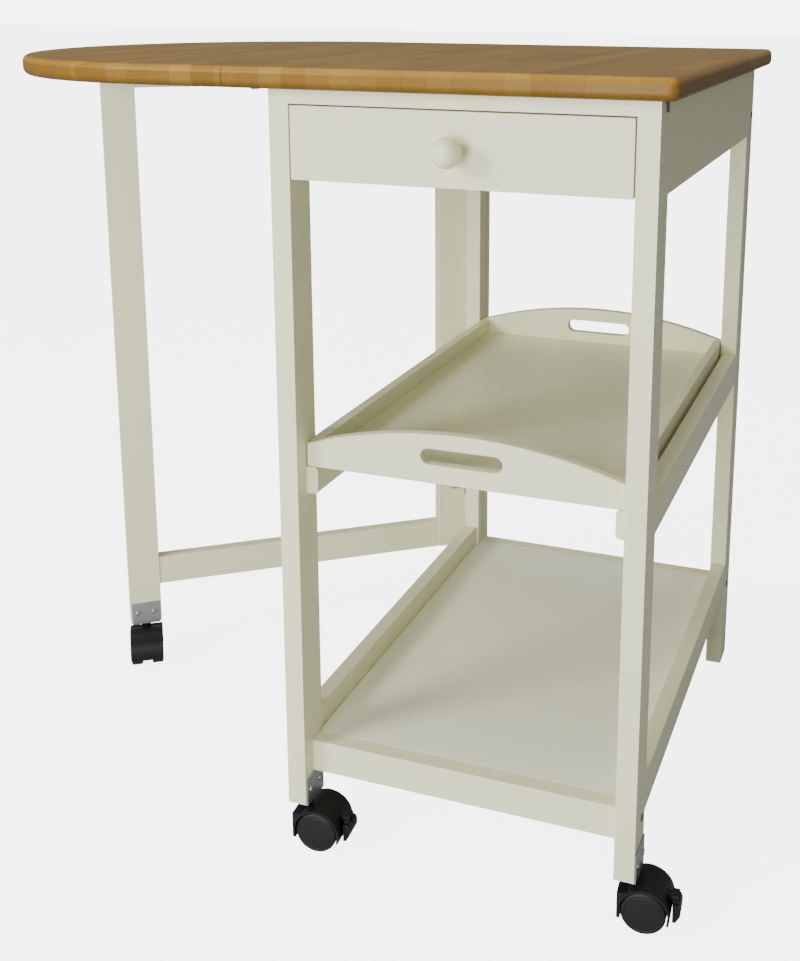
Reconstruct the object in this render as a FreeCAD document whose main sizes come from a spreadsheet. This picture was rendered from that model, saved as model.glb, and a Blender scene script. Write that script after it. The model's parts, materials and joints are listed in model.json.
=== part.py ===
import FreeCAD, Part

import os
import math

import Sketcher

# A kitchen island cart with a drop leaf on a swinging gate leg, a drawer, a lift-off serving
# tray and a bottom shelf. Millimetres, +Z up. The origin is on the floor, under the middle of
# the cart's footprint with the leaf up. The front of the cart faces -Y and the leaf is at -X.
# Every piece is laid out first from the front left corner of the front left leg, with X across
# the front, Y towards the back and Z up from the floor. centre_x and centre_y move that corner.

SIZES = [
    ("frame_width", 383, "outside of the legs, left to right"),
    ("frame_depth", 598, "outside of the legs, front to back"),
    ("leg_thick", 21, "leg section across"),
    ("leg_deep", 42, "leg section front to back"),
    ("stand_high", 829, "floor to the underside of the worktop"),
    ("top_thick", 21, "thickness of the worktop and the leaf"),
    ("top_front", 19, "worktop past the legs at the front"),
    ("top_back", 30, "worktop past the legs at the back"),
    ("top_right", 18, "worktop past the legs on the right"),
    ("top_left", 40, "worktop past the legs on the left, over the folded gate"),
    ("top_corner", 10, "corner radius of the worktop"),
    ("edge_round", 7, "rounding of the worktop's edges"),
    ("leaf_gap", 0.6, "seam between worktop and leaf"),
    ("leaf_long", 387, "leaf from the seam to its tip"),
    ("leaf_straight", 110, "straight part of the leaf's sides"),
    ("rail_high", 40, "height of the side rails"),
    ("rail_thick", 18, "thickness of rails and aprons"),
    ("shelf_rise", 68, "top of the shelf above the ends of the front legs"),
    ("shelf_rail_drop", 14, "bottom of the lowest side rails below the shelf's top"),
    ("mid_rail_low", 410, "floor to the middle side rails"),
    ("apron_high", 88, "height of the aprons under the worktop"),
    ("drawer_high", 72, "height of the drawer front"),
    ("drawer_gap", 1.5, "gap round the drawer front"),
    ("drawer_front_thick", 18, "thickness of the drawer front"),
    ("drawer_side_thick", 12, "thickness of the drawer's sides and back"),
    ("drawer_side_high", 52, "height of the drawer's sides"),
    ("drawer_short", 82, "gap between the drawer's back and the back apron"),
    ("drawer_bottom_thick", 4, "thickness of the drawer's bottom"),
    ("drawer_play", 0.6, "running clearance of the drawer"),
    ("runner_high", 12, "height of a drawer runner"),
    ("runner_wide", 22, "width of a drawer runner"),
    ("guide_high", 14, "guide that stands on a drawer runner"),
    ("shelf_thick", 12, "thickness of the shelf panel"),
    ("shelf_edge_high", 36, "height of the rails at the shelf's ends"),
    ("shelf_recess", 19, "shelf's front rail behind the legs' front"),
    ("shelf_back_recess", 12, "shelf's back rail in front of the legs' back"),
    ("panel_gap", 0.4, "gap round the shelf panel"),
    ("bearer_thick", 13, "thickness of a tray bearer"),
    ("bearer_high", 29, "height of a tray bearer"),
    ("bearer_round", 4, "rounding of a tray bearer's inner edges"),
    ("tray_gap", 1, "gap between the tray and the legs on each side"),
    ("tray_play", 0.3, "running clearance between the tray and its bearers"),
    ("tray_recess", 20, "tray's ends behind the legs' outer faces"),
    ("tray_side_thick", 10, "thickness of the tray's sides"),
    ("tray_side_high", 26, "height of the tray's sides"),
    ("tray_floor_thick", 7, "thickness of the tray's floor"),
    ("tray_end_thick", 12, "thickness of the tray's ends"),
    ("tray_end_low", 25, "height of a tray end at its sides"),
    ("tray_end_arch", 28, "rise of a tray end's arch"),
    ("tray_round", 1.5, "rounding of a tray end's edges"),
    ("grip_long", 86, "length of a tray handle slot"),
    ("grip_high", 16.5, "height of a tray handle slot"),
    ("grip_low", 28, "middle of the handle slot above the tray's bottom"),
    ("gate_long", 494, "gate from its pin to its outer edge"),
    ("gate_open", 52, "degrees the gate is swung out from the cart's side"),
    ("gate_pin_back", 3, "gate hinge pin behind one leg thickness from the legs' back"),
    ("gate_start", 3, "gate post's end from the pin"),
    ("gate_top_gap", 0.5, "gap over the gate, under the leaf"),
    ("gate_rail_high", 30, "height of the gate's top rail"),
    ("stop_long", 60, "length of the gate stop"),
    ("stop_thick", 15, "thickness of the gate stop"),
    ("stop_high", 14, "height of the gate stop"),
    ("stop_gap", 0.3, "gap between the open gate and its stop"),
    ("hinge_plate", 1.4, "thickness of the hinge plates"),
    ("knuckle", 3, "radius of the hinge knuckles"),
    ("hinge_pin", 1.5, "radius of the hinge pins"),
    ("pin_play", 0.05, "radial clearance of pins and axles"),
    ("knuckle_gap", 0.3, "gap between hinge knuckles"),
    ("gate_hinge_high", 60, "height of a gate hinge"),
    ("gate_hinge_leaf", 22, "reach of a gate hinge's plates"),
    ("leaf_hinge_wide", 26, "width of a leaf hinge"),
    ("leaf_hinge_leaf", 28, "reach of a leaf hinge's plates"),
    ("leaf_hinge_inset", 3, "back leaf hinge from the worktop's back edge"),
    ("leaf_hinge_front", 42, "front leaf hinge behind the legs' front"),
    ("knob_radius", 14.5, "radius of the drawer knob's ball"),
    ("knob_reach", 35, "drawer knob's projection"),
    ("knob_neck", 6.5, "radius of the knob's neck"),
    ("bolt_head", 4.5, "radius of a frame bolt's head"),
    ("bolt_sink", 3, "depth of a frame bolt's counterbore"),
    ("bolt_shank", 3, "radius of a frame bolt"),
    ("bolt_grip", 45, "length of a frame bolt"),
    ("bracket_wide", 38, "width of a caster bracket"),
    ("bracket_high", 30, "height of a caster bracket's upright"),
    ("bracket_plate", 1.6, "thickness of a caster bracket"),
    ("stem_radius", 4, "radius of a caster stem"),
    ("stem_head", 6, "radius of a caster stem's head"),
    ("stem_head_high", 2, "height of a caster stem's head"),
    ("neck_radius", 6, "radius of a caster hood's neck"),
    ("neck_gap", 0.5, "gap between a hood's neck and its bracket"),
    ("wheel_radius", 23, "radius of a caster wheel"),
    ("wheel_wide", 15.5, "width of one wheel of the twin"),
    ("web", 6, "half thickness of the hood's middle web"),
    ("wheel_gap", 0.5, "gap beside a caster wheel"),
    ("hood_gap", 1.5, "gap between wheel and hood"),
    ("hood_wall", 2.2, "wall of the hood"),
    ("hood_low", 15, "floor to the hood's lower edge"),
    ("skirt_rise", 21, "top of the hood's straight side above the axle"),
    ("leg_clear", 6.3, "bottom of a leg that has a caster above its hood"),
    ("trail", 19, "axle behind the caster's stem"),
    ("axle_radius", 3, "radius of a caster axle"),
    ("brake_long", 9.3, "brake pedal's far face from the hood"),
    ("brake_wide", 24, "width of the brake pedal"),
    ("brake_low", 13, "floor to the brake pedal"),
    ("brake_lug", 3, "radius of the brake lug on the hood"),
    ("brake_lug_half", 4, "half width of the brake lug"),
    ("brake_cheek", 2.6, "thickness of the brake's cheeks"),
    ("brake_rise", 13, "brake's pivot above the axle"),
    ("brake_pin", 1.4, "radius of the brake's pivot pins"),
    ("front_caster_turn", 4, "degrees the front casters trail from +X"),
    ("gate_caster_turn", -56, "degrees the gate caster trails from +X"),
]

doc = FreeCAD.newDocument("kitchen_cart")
sheet = doc.addObject("Spreadsheet::Sheet", "Sizes")
for row, (alias, number, note) in enumerate(SIZES, start=1):
    sheet.set(f"A{row}", note)
    sheet.set(f"B{row}", str(number))
    sheet.setAlias(f"B{row}", alias)
doc.recompute()


class Size:
    """A length or angle that knows its value now and the expression that gives it."""

    def __init__(self, value, text):
        self.value = float(value)
        self.text = text

    def _with(self, other, sign, value):
        return Size(value, f"({self.text} {sign} {as_size(other).text})")

    def __add__(self, other):
        return self._with(other, "+", self.value + as_size(other).value)

    def __sub__(self, other):
        return self._with(other, "-", self.value - as_size(other).value)

    def __mul__(self, other):
        return self._with(other, "*", self.value * as_size(other).value)

    def __truediv__(self, other):
        return self._with(other, "/", self.value / as_size(other).value)

    def __radd__(self, other):
        return as_size(other) + self

    def __rsub__(self, other):
        return as_size(other) - self

    def __rmul__(self, other):
        return as_size(other) * self

    def __neg__(self):
        return Size(-self.value, f"(0 - {self.text})")


def as_size(x):
    """A plain number or a Size, as a Size."""
    return x if isinstance(x, Size) else Size(x, f"{float(x):g}")


def cosine(angle):
    """The cosine of an angle in degrees."""
    return Size(math.cos(math.radians(angle.value)), f"cos({angle.text})")


def sine(angle):
    """The sine of an angle in degrees."""
    return Size(math.sin(math.radians(angle.value)), f"sin({angle.text})")


S = {alias: Size(sheet.get(alias), f"Sizes.{alias}") for alias, _, _ in SIZES}

# Levels and reaches that follow from the size of a caster.
hood_in = S["wheel_radius"] + S["hood_gap"]
hood_out = hood_in + S["hood_wall"]
lift = S["wheel_radius"] + hood_out + S["leg_clear"]
brake_reach = S["trail"] + hood_out + S["brake_long"]
brake_pivot = S["wheel_radius"] + S["brake_rise"]

# The footprint runs from the leaf's tip to the front right caster's brake pedal, and from the
# knob to the worktop's back edge.
stem_x = S["frame_width"] - S["leg_thick"] / 2
far_right = stem_x + brake_reach * cosine(S["front_caster_turn"]) + (
    S["brake_wide"] / 2 * sine(S["front_caster_turn"])
)
far_left = -S["top_left"] - S["leaf_gap"] - S["leaf_long"]
centre_x = (far_right + far_left) / 2
centre_y = (S["frame_depth"] + S["top_back"] - S["knob_reach"]) / 2

parts = []


def bind(obj, prop, size):
    """Ties a property to the sheet."""
    obj.setExpression(prop, as_size(size).text)


def place(obj, x, y, z, turn=0):
    """Puts an object at a point of the layout, turned about the vertical."""
    x, y, z, turn = (as_size(a) for a in (x - centre_x, y - centre_y, z, turn))
    spin = FreeCAD.Rotation(FreeCAD.Vector(0, 0, 1), turn.value)
    obj.Placement = FreeCAD.Placement(FreeCAD.Vector(x.value, y.value, z.value), spin)
    for axis, size in zip("xyz", (x, y, z)):
        bind(obj, f"Placement.Base.{axis}", size)
    if turn.value:
        bind(obj, "Placement.Rotation.Angle", turn)
    return obj


def keep(obj, label):
    """Marks an object as a finished piece with that name."""
    obj.Label = label
    parts.append(obj)
    return obj


class Spot:
    """A corner of the layout with its own turn. Points are given along its own axes."""

    def __init__(self, x=0, y=0, turn=0):
        self.x, self.y, self.turn = as_size(x), as_size(y), as_size(turn)

    def at(self, u, v):
        """The layout's x and y of the point u along and v across."""
        u, v = as_size(u), as_size(v)
        if self.turn.value == 0:
            return self.x + u, self.y + v
        c, s = cosine(self.turn), sine(self.turn)
        return self.x + u * c - v * s, self.y + u * s + v * c

    def place(self, obj, u, v, z):
        x, y = self.at(u, v)
        return place(obj, x, y, z, self.turn)


CORNER = Spot()


def box(name, size, at, spot=CORNER):
    """A block: size is (x, y, z) lengths and at its low corner, on the spot's axes."""
    obj = doc.addObject("Part::Box", name)
    for prop, length in zip(("Length", "Width", "Height"), size):
        setattr(obj, prop, as_size(length).value)
        bind(obj, prop, length)
    return spot.place(obj, *at)


def rod(name, radius, length, at, along="z", spot=CORNER):
    """A round bar that starts at a point and runs along the spot's x, y or z."""
    obj = doc.addObject("Part::Cylinder", name)
    obj.Radius = as_size(radius).value
    obj.Height = as_size(length).value
    bind(obj, "Radius", radius)
    bind(obj, "Height", length)
    if along == "z":
        return spot.place(obj, *at)
    x, y = spot.at(at[0], at[1])
    x, y, z = x - centre_x, y - centre_y, as_size(at[2])
    tilt = FreeCAD.Rotation(FreeCAD.Vector(0, 0, 1), spot.turn.value)
    lay = {"x": FreeCAD.Rotation(FreeCAD.Vector(0, 1, 0), 90),
           "y": FreeCAD.Rotation(FreeCAD.Vector(1, 0, 0), -90)}[along]
    where = FreeCAD.Vector(x.value, y.value, z.value)
    obj.Placement = FreeCAD.Placement(where, tilt * lay)
    for axis, size in zip("xyz", (x, y, z)):
        bind(obj, f"Placement.Base.{axis}", size)
    return obj


def union(name, pieces):
    """One solid from several that touch."""
    obj = doc.addObject("Part::MultiFuse", name)
    obj.Shapes = pieces
    obj.Refine = True
    return obj


def group(name, pieces):
    """Separate solids that share a name."""
    obj = doc.addObject("Part::Compound", name)
    obj.Links = pieces
    return obj


def cut(name, base, tools):
    """A piece with holes or notches."""
    tool = tools[0] if len(tools) == 1 else union(name + "_tools", tools)
    obj = doc.addObject("Part::Cut", name)
    obj.Base = base
    obj.Tool = tool
    return obj


def common(name, first, second):
    """What two solids share."""
    obj = doc.addObject("Part::Common", name)
    obj.Base = first
    obj.Tool = second
    return obj


def sketch_in(body, name, plane):
    """A sketch on one of a body's own origin planes."""
    sketch = body.newObject("Sketcher::SketchObject", name)
    home = [f for f in body.Origin.OriginFeatures if f.Role == plane][0]
    sketch.AttachmentSupport = [(home, "")]
    sketch.MapMode = "FlatFace"
    return sketch


def tie(sketch, kind, args, size):
    """A dimension of a sketch, bound to the sheet."""
    index = sketch.addConstraint(Sketcher.Constraint(kind, *args, as_size(size).value))
    bind(sketch, f"Constraints[{index}]", size)


def join_ends(sketch, edges):
    """Closes a loop: the end of each edge meets the start of the next."""
    for here, after in zip(edges, edges[1:] + edges[:1]):
        sketch.addConstraint(Sketcher.Constraint("Coincident", here, 2, after, 1))


def outline(sketch, points):
    """A closed outline of straight edges whose corners are tied to the sheet."""
    edges = []
    for start, end in zip(points, points[1:] + points[:1]):
        a = FreeCAD.Vector(as_size(start[0]).value, as_size(start[1]).value, 0)
        b = FreeCAD.Vector(as_size(end[0]).value, as_size(end[1]).value, 0)
        edges.append(sketch.addGeometry(Part.LineSegment(a, b)))
    join_ends(sketch, edges)
    for edge, corner in zip(edges, points):
        for kind, size in zip(("DistanceX", "DistanceY"), corner):
            tie(sketch, kind, (-1, 1, edge, 1), size)
    return edges


def round_edges(label, blank, radius, wanted):
    """Rounds the edges that wanted picks from the blank's shape."""
    doc.recompute()
    picked = [i for i, edge in enumerate(blank.Shape.Edges, start=1) if wanted(edge)]
    rounded = doc.addObject("Part::Fillet", label + "_round")
    rounded.Base = blank
    rounded.Edges = [(i, radius.value, radius.value) for i in picked]
    return rounded


# Layout values that several pieces share.
leg_right = S["frame_width"] - S["leg_thick"]
leg_back = S["frame_depth"] - S["leg_deep"]
span_x = S["frame_width"] - 2 * S["leg_thick"]
span_y = S["frame_depth"] - 2 * S["leg_deep"]
back_rail_y = S["frame_depth"] - S["shelf_back_recess"] - S["rail_thick"]
shelf_top = lift + S["shelf_rise"]
shelf_rail_low = shelf_top - S["shelf_rail_drop"]
shelf_edge_low = shelf_top - S["shelf_edge_high"]
apron_low = S["stand_high"] - S["apron_high"]
top_rail_low = apron_low + S["drawer_high"] + S["drawer_gap"]
top_rail_high = S["stand_high"] - top_rail_low


# Frame bolts go through the legs into the ends of the rails that run across the cart.
BOLTS = [
    ("front_top", S["leg_deep"] / 2, top_rail_low + top_rail_high / 2),
    ("front_shelf", S["shelf_recess"] + S["rail_thick"] / 2, shelf_top - 12),
    ("back_top", S["frame_depth"] - S["rail_thick"] / 2, apron_low + 25),
    ("back_shelf", back_rail_y + S["rail_thick"] / 2, shelf_top - 12),
]


def bolt_holes(name, side, ends):
    """Counterbore and shank of the bolts on one side, for the named ends."""
    made = []
    left = side == "left"
    for place_name, y, z in BOLTS:
        if not place_name.startswith(ends):
            continue
        head_x = 0 if left else S["frame_width"] - S["bolt_sink"]
        shank_x = S["bolt_sink"] if left else S["frame_width"] - S["bolt_grip"]
        tag = f"{name}_{place_name}"
        head = rod(tag + "_head", S["bolt_head"], S["bolt_sink"], (head_x, y, z), "x")
        shank_long = S["bolt_grip"] - S["bolt_sink"]
        shank = rod(tag + "_shank", S["bolt_shank"], shank_long, (shank_x, y, z), "x")
        made += [head, shank]
    return made


# Legs. The front legs stop above their casters, and the back legs stand on the floor.
def leg(label, x, y, low, side, end):
    blank = box(label + "_blank", (S["leg_thick"], S["leg_deep"], S["stand_high"] - low), (x, y, low))
    tools = bolt_holes(label, side, end)
    if low.value > 0:
        head = rod(label + "_socket", S["stem_head"], S["stem_head_high"],
                   (x + S["leg_thick"] / 2, y + S["leg_deep"] / 2, low))
        tools.append(head)
    keep(cut(label + "_cut", blank, tools), label)


leg("leg_front_left", as_size(0), as_size(0), lift, "left", "front")
leg("leg_front_right", leg_right, as_size(0), lift, "right", "front")
leg("leg_back_left", as_size(0), leg_back, as_size(0), "left", "back")
leg("leg_back_right", leg_right, leg_back, as_size(0), "right", "back")


# Rails between the legs.
def cross_rail(label, size, at, end):
    """A rail across the cart, drilled for the bolts at both its ends."""
    blank = box(label + "_blank", size, at)
    tools = bolt_holes(label + "_l", "left", end) + bolt_holes(label + "_r", "right", end)
    keep(cut(label + "_cut", blank, tools), label)


cross_rail("drawer_top_rail", (span_x, S["leg_deep"], top_rail_high),
           (S["leg_thick"], 0, top_rail_low), "front_top")
cross_rail("apron_back", (span_x, S["rail_thick"], S["apron_high"]),
           (S["leg_thick"], S["frame_depth"] - S["rail_thick"], apron_low), "back_top")
cross_rail("shelf_rail_front", (span_x, S["rail_thick"], S["shelf_edge_high"]),
           (S["leg_thick"], S["shelf_recess"], shelf_edge_low), "front_shelf")
cross_rail("shelf_rail_back", (span_x, S["rail_thick"], S["shelf_edge_high"]),
           (S["leg_thick"], back_rail_y, shelf_edge_low), "back_shelf")

for side, rail_x in (("left", as_size(0)), ("right", S["frame_width"] - S["rail_thick"])):
    for label, low, high in (
        ("apron_" + side, apron_low, S["apron_high"]),
        ("mid_rail_" + side, S["mid_rail_low"], S["rail_high"]),
        ("shelf_rail_" + side, shelf_rail_low, S["rail_high"]),
    ):
        keep(box(label + "_board", (S["rail_thick"], span_y, high), (rail_x, S["leg_deep"], low)), label)

# Shelf panel: it fills the frame between the end rails, and is notched round the legs.
shelf = doc.addObject("PartDesign::Body", "shelf_body")
shelf_sketch = sketch_in(shelf, "shelf_outline", "XY_Plane")
shelf_wide = S["frame_width"] - 2 * S["rail_thick"] - 2 * S["panel_gap"]
shelf_long = back_rail_y - S["shelf_recess"] - S["rail_thick"]
notch_x = S["leg_thick"] - S["rail_thick"]
notch_front = S["leg_deep"] - S["shelf_recess"] - S["rail_thick"] + S["panel_gap"]
notch_back = back_rail_y - leg_back + S["panel_gap"]
outline(shelf_sketch, [
    (notch_x, 0), (shelf_wide - notch_x, 0), (shelf_wide - notch_x, notch_front),
    (shelf_wide, notch_front), (shelf_wide, shelf_long - notch_back),
    (shelf_wide - notch_x, shelf_long - notch_back), (shelf_wide - notch_x, shelf_long),
    (notch_x, shelf_long), (notch_x, shelf_long - notch_back), (0, shelf_long - notch_back),
    (0, notch_front), (notch_x, notch_front),
])
shelf_pad = shelf.newObject("PartDesign::Pad", "shelf_pad")
shelf_pad.Profile = shelf_sketch
bind(shelf_pad, "Length", S["shelf_thick"])
CORNER.place(shelf, S["rail_thick"] + S["panel_gap"], S["shelf_recess"] + S["rail_thick"],
             shelf_top - S["shelf_thick"])
keep(shelf, "shelf_panel")


# Drawer runners: L sections along the aprons, with a ledge and a guide.
drawer_side_x = S["rail_thick"] + S["runner_wide"] - S["drawer_side_thick"] - 1
guide_wide = drawer_side_x - S["rail_thick"] - S["drawer_play"]
runner_top = apron_low + S["runner_high"]
for side in ("left", "right"):
    left = side == "left"
    ledge_x = S["rail_thick"] if left else S["frame_width"] - S["rail_thick"] - S["runner_wide"]
    guide_x = S["rail_thick"] if left else S["frame_width"] - S["rail_thick"] - guide_wide
    ledge = box("ledge_" + side, (S["runner_wide"], span_y, S["runner_high"]),
                (ledge_x, S["leg_deep"], apron_low))
    guide = box("guide_" + side, (guide_wide, span_y, S["guide_high"]),
                (guide_x, S["leg_deep"], runner_top))
    keep(union("runner_" + side, [ledge, guide]), "drawer_runner_" + side)

# Drawer.
drawer_low = runner_top + S["drawer_play"] / 2
drawer_wide = S["frame_width"] - 2 * drawer_side_x
inner_wide = drawer_wide - 2 * S["drawer_side_thick"]
front_wide = span_x - 2 * S["drawer_gap"]
drawer_deep = S["frame_depth"] - S["rail_thick"] - S["drawer_front_thick"] - S["drawer_short"]
knob_z = apron_low + S["drawer_high"] / 2
middle_x = S["frame_width"] / 2
front_blank = box("drawer_front_blank", (front_wide, S["drawer_front_thick"], S["drawer_high"]),
                  (S["leg_thick"] + S["drawer_gap"], 0, apron_low))
front_hole = rod("drawer_front_hole", 2.2, S["drawer_front_thick"], (middle_x, 0, knob_z), "y")
keep(cut("drawer_front_cut", front_blank, [front_hole]), "drawer_front")
drawer_right_x = S["frame_width"] - drawer_side_x - S["drawer_side_thick"]
for side, x in (("left", drawer_side_x), ("right", drawer_right_x)):
    board = box("drawer_board_" + side, (S["drawer_side_thick"], drawer_deep, S["drawer_side_high"]),
                (x, S["drawer_front_thick"], drawer_low))
    keep(board, "drawer_side_" + side)
inner_x = drawer_side_x + S["drawer_side_thick"]
back_board_y = S["drawer_front_thick"] + drawer_deep - S["drawer_side_thick"]
keep(box("drawer_back_board", (inner_wide, S["drawer_side_thick"], S["drawer_side_high"]),
         (inner_x, back_board_y, drawer_low)), "drawer_back")
keep(box("drawer_bottom_board",
         (inner_wide, drawer_deep - S["drawer_side_thick"], S["drawer_bottom_thick"]),
         (inner_x, S["drawer_front_thick"], drawer_low + 4)), "drawer_bottom")

# Knob: a ball on a short neck, turned from one piece, held by a screw from inside the drawer.
knob = doc.addObject("PartDesign::Body", "knob_body")
knob_sketch = sketch_in(knob, "knob_profile", "XZ_Plane")
ball_z = S["knob_reach"] - S["knob_radius"]
neck_meet = math.sqrt(S["knob_radius"].value ** 2 - S["knob_neck"].value ** 2)
V = FreeCAD.Vector
corners = [V(0, 0, 0), V(S["knob_neck"].value, 0, 0), V(S["knob_neck"].value, ball_z.value - neck_meet, 0)]
base = knob_sketch.addGeometry(Part.LineSegment(corners[0], corners[1]))
neck = knob_sketch.addGeometry(Part.LineSegment(corners[1], corners[2]))
ball_start = math.atan2(-neck_meet, S["knob_neck"].value)
circle = Part.Circle(V(0, ball_z.value, 0), V(0, 0, 1), S["knob_radius"].value)
ball = knob_sketch.addGeometry(Part.ArcOfCircle(circle, ball_start, math.pi / 2))
core = knob_sketch.addGeometry(Part.LineSegment(V(0, S["knob_reach"].value, 0), corners[0]))
join_ends(knob_sketch, [base, neck, ball, core])
knob_sketch.addConstraint(Sketcher.Constraint("Coincident", base, 1, -1, 1))
knob_sketch.addConstraint(Sketcher.Constraint("Horizontal", base))
knob_sketch.addConstraint(Sketcher.Constraint("Vertical", neck))
knob_sketch.addConstraint(Sketcher.Constraint("PointOnObject", ball, 3, -2))
knob_sketch.addConstraint(Sketcher.Constraint("PointOnObject", ball, 2, -2))
tie(knob_sketch, "DistanceX", (-1, 1, base, 2), S["knob_neck"])
tie(knob_sketch, "DistanceY", (-1, 1, ball, 3), ball_z)
tie(knob_sketch, "Radius", (ball,), S["knob_radius"])
knob_turn = knob.newObject("PartDesign::Revolution", "knob_turn")
knob_turn.Profile = knob_sketch
knob_turn.ReferenceAxis = (knob_sketch, ["V_Axis"])
knob_turn.Angle = 360
knob_bore = rod("knob_bore", 2, 15, (0, 0, 0))
knob_bore.Placement = FreeCAD.Placement()
for axis in "xyz":
    knob_bore.setExpression(f"Placement.Base.{axis}", None)
knob_piece = cut("knob_cut", knob, [knob_bore])
place(knob_piece, middle_x, as_size(0), knob_z)
knob_piece.Placement.Rotation = FreeCAD.Rotation(V(1, 0, 0), 90)
keep(knob_piece, "drawer_knob")
screw_head = rod("knob_screw_head", 4.5, 2.5, (middle_x, S["drawer_front_thick"], knob_z), "y")
screw_long = S["drawer_front_thick"] + 14
screw_shank = rod("knob_screw_shank", 2, screw_long, (middle_x, -14, knob_z), "y")
keep(union("knob_screw_solid", [screw_head, screw_shank]), "knob_screw")


def runs_back_at(edge, x):
    """True for an edge that runs front to back at that X."""
    return is_lengthwise(edge) and all(abs(v.Point.x - x) < 0.01 for v in edge.Vertexes)


def is_lengthwise(edge):
    """True for an edge along Y."""
    first, last = edge.Vertexes[0].Point, edge.Vertexes[-1].Point
    return abs(first.y - last.y) > 1


# Tray bearers: rounded bars along the legs' inner faces, level with the middle rails.
bearer_long = S["frame_depth"] - 2 * S["tray_recess"]
tray_low = S["mid_rail_low"] + S["bearer_high"] + S["tray_play"]
for side in ("left", "right"):
    left = side == "left"
    x = S["leg_thick"] if left else leg_right - S["bearer_thick"]
    bar = box("bearer_bar_" + side, (S["bearer_thick"], bearer_long, S["bearer_high"]),
              (x, S["tray_recess"], S["mid_rail_low"]))
    inner_face = ((x + S["bearer_thick"] if left else x) - centre_x).value
    keep(round_edges("bearer_" + side, bar, S["bearer_round"], lambda e: runs_back_at(e, inner_face)),
         "tray_bearer_" + side)

# Serving tray: floor and sides between two arched ends with handle slots.
tray_x = S["leg_thick"] + S["tray_gap"]
tray_wide = span_x - 2 * S["tray_gap"]
tray_inner_long = bearer_long - 2 * S["tray_end_thick"]
tray_inner_y = S["tray_recess"] + S["tray_end_thick"]
for side, x in (("left", tray_x), ("right", tray_x + tray_wide - S["tray_side_thick"])):
    keep(box("tray_wall_" + side, (S["tray_side_thick"], tray_inner_long, S["tray_side_high"]),
             (x, tray_inner_y, tray_low)), "tray_side_" + side)
keep(box("tray_base", (tray_wide - 2 * S["tray_side_thick"], tray_inner_long, S["tray_floor_thick"]),
         (tray_x + S["tray_side_thick"], tray_inner_y, tray_low)), "tray_floor")


def is_level(edge):
    """True for an edge that lies in a horizontal plane."""
    return all(abs(v.Point.z - edge.Vertexes[0].Point.z) < 0.01 for v in edge.Vertexes)


def is_flat_to_front(edge):
    """True for an edge of a panel's outline, on its front or its back face."""
    return all(abs(v.Point.y - edge.Vertexes[0].Point.y) < 0.01 for v in edge.Vertexes)


def tray_end(label, y):
    """An arched end panel with a handle slot that has round ends."""
    body = doc.addObject("PartDesign::Body", label + "_body")
    sketch = sketch_in(body, label + "_outline", "XZ_Plane")
    half, low, peak = tray_wide / 2, S["tray_end_low"], S["tray_end_low"] + S["tray_end_arch"]
    base = sketch.addGeometry(Part.LineSegment(V(-half.value, 0, 0), V(half.value, 0, 0)))
    right = sketch.addGeometry(Part.LineSegment(V(half.value, 0, 0), V(half.value, low.value, 0)))
    arc = Part.Arc(V(half.value, low.value, 0), V(0, peak.value, 0), V(-half.value, low.value, 0))
    arch = sketch.addGeometry(arc)
    left = sketch.addGeometry(Part.LineSegment(V(-half.value, low.value, 0), V(-half.value, 0, 0)))
    join_ends(sketch, [base, right, arch, left])
    radius = (half * half + S["tray_end_arch"] * S["tray_end_arch"]) / (2 * S["tray_end_arch"])
    for line, kind in ((base, "Horizontal"), (right, "Vertical"), (left, "Vertical")):
        sketch.addConstraint(Sketcher.Constraint(kind, line))
    sketch.addConstraint(Sketcher.Constraint("Symmetric", base, 1, base, 2, -1, 1))
    sketch.addConstraint(Sketcher.Constraint("Equal", left, right))
    tie(sketch, "DistanceX", (base, 1, base, 2), tray_wide)
    tie(sketch, "DistanceY", (right, 1, right, 2), low)
    tie(sketch, "Radius", (arch,), radius)
    grip_r = S["grip_high"] / 2
    reach = S["grip_long"] / 2 - grip_r
    z = S["grip_low"]
    caps = []
    for sign in (1, -1):
        rim = Part.Circle(V(sign * reach.value, z.value, 0), V(0, 0, 1), grip_r.value)
        start = -math.pi / 2 if sign > 0 else math.pi / 2
        caps.append(sketch.addGeometry(Part.ArcOfCircle(rim, start, start + math.pi)))
    top = sketch.addGeometry(Part.LineSegment(V(reach.value, z.value + grip_r.value, 0),
                                              V(-reach.value, z.value + grip_r.value, 0)))
    low_line = sketch.addGeometry(Part.LineSegment(V(-reach.value, z.value - grip_r.value, 0),
                                                   V(reach.value, z.value - grip_r.value, 0)))
    for here, here_end, there, there_end in (
        (caps[0], 2, top, 1), (top, 2, caps[1], 1), (caps[1], 2, low_line, 1), (low_line, 2, caps[0], 1),
    ):
        sketch.addConstraint(Sketcher.Constraint("Tangent", here, here_end, there, there_end))
    tie(sketch, "DistanceX", (-1, 1, caps[0], 3), reach)
    tie(sketch, "DistanceY", (-1, 1, caps[0], 3), z)
    tie(sketch, "DistanceX", (caps[1], 3, caps[0], 3), 2 * reach)
    tie(sketch, "DistanceY", (-1, 1, caps[1], 3), z)
    tie(sketch, "Radius", (caps[0],), grip_r)
    pad = body.newObject("PartDesign::Pad", label + "_pad")
    pad.Profile = sketch
    bind(pad, "Length", S["tray_end_thick"])
    place(body, middle_x, y + S["tray_end_thick"], tray_low)
    keep(round_edges(label, body, S["tray_round"], is_flat_to_front), label)


tray_end("tray_end_front", S["tray_recess"])
tray_end("tray_end_back", S["frame_depth"] - S["tray_recess"] - S["tray_end_thick"])


# Worktop and leaf.
top_wide = S["frame_width"] + S["top_left"] + S["top_right"]
top_long = S["frame_depth"] + S["top_front"] + S["top_back"]
seam_x = (-S["top_left"] - centre_x).value
top_blank = box("worktop_blank", (top_wide, top_long, S["top_thick"]),
                (-S["top_left"], -S["top_front"], S["stand_high"]))


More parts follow.
